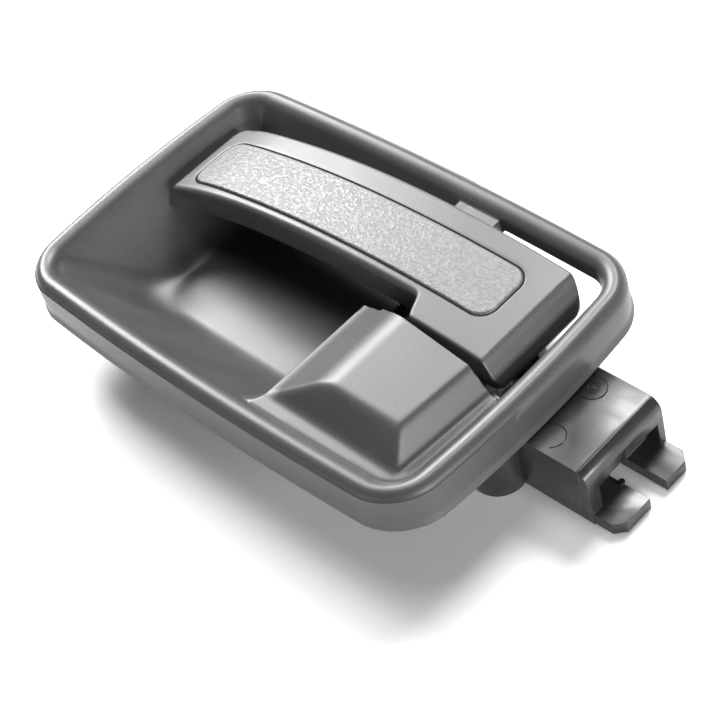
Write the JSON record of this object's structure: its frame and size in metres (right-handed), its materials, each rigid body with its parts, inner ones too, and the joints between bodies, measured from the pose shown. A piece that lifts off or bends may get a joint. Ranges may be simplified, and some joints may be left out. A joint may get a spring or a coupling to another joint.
{
  "type": "car inside door handle",
  "caption": "Inside door pull: rounded rectangular bezel with a finger dish and a hump, a sprung pull lever with a grained insert, and a rear bracket whose rod arm ends in hook tongues.",
  "frame": {"origin": "centre of the bezel's outline on the plane where its skirt seats on the door trim", "axes": "+Z out of the door towards the hand, +X along the bezel towards the rod arm, +Y across the bezel towards the lever's far edge"},
  "size_m": [0.1496, 0.0816, 0.0303],
  "materials": {
    "bezel_plastic": "satin",
    "bracket_plastic": "semi-gloss, as moulded",
    "lever_plastic": "satin",
    "insert_plastic": "leather grain",
    "cast_core": "as die cast",
    "zinc_steel": "zinc plated",
    "spring_steel": "drawn wire",
    "nylon": "natural nylon",
    "rubber": "matt",
    "brass": "turned"
  },
  "bodies": {
    "housing": {"bezel": "bezel_plastic", "bracket": "bracket_plastic", "pivot_pin": "zinc_steel", "pin_washer": "zinc_steel", "pin_clip": "spring_steel", "return_spring": "spring_steel", "rest_bumper": "rubber", "open_bumper": "rubber", "bracket_screws": "zinc_steel", "bracket_washers": "zinc_steel", "fixing_inserts": "brass"},
    "lever": {"lever_cover": "lever_plastic", "lever_core": "cast_core", "lever_insert": "insert_plastic", "cover_screws": "zinc_steel", "near_bush": "nylon", "far_bush": "nylon", "spring_spool": "nylon"},
    "rod_clip": {"rod_clip": "nylon"}
  },
  "joints": [
    {"name": "lever_pull", "type": "hinge", "parent": "housing", "child": "lever", "pos_m": [0.042, 0.0085, 0], "axis": [0, 1, 0], "range_deg": [0, 32], "stiffness_Nm_per_rad": 0.25, "springref_deg": -25.78, "deforming": ["return_spring"]},
    {"name": "rod_clip_swivel", "type": "hinge", "parent": "lever", "child": "rod_clip", "pos_m": [0.042, 0.00705, -0.009], "axis": [0, 1, 0], "range_deg": [-32, 0]}
  ],
  "couplings": [
    {"joint": "rod_clip_swivel", "follows": "lever_pull", "ratio": -1}
  ]
}
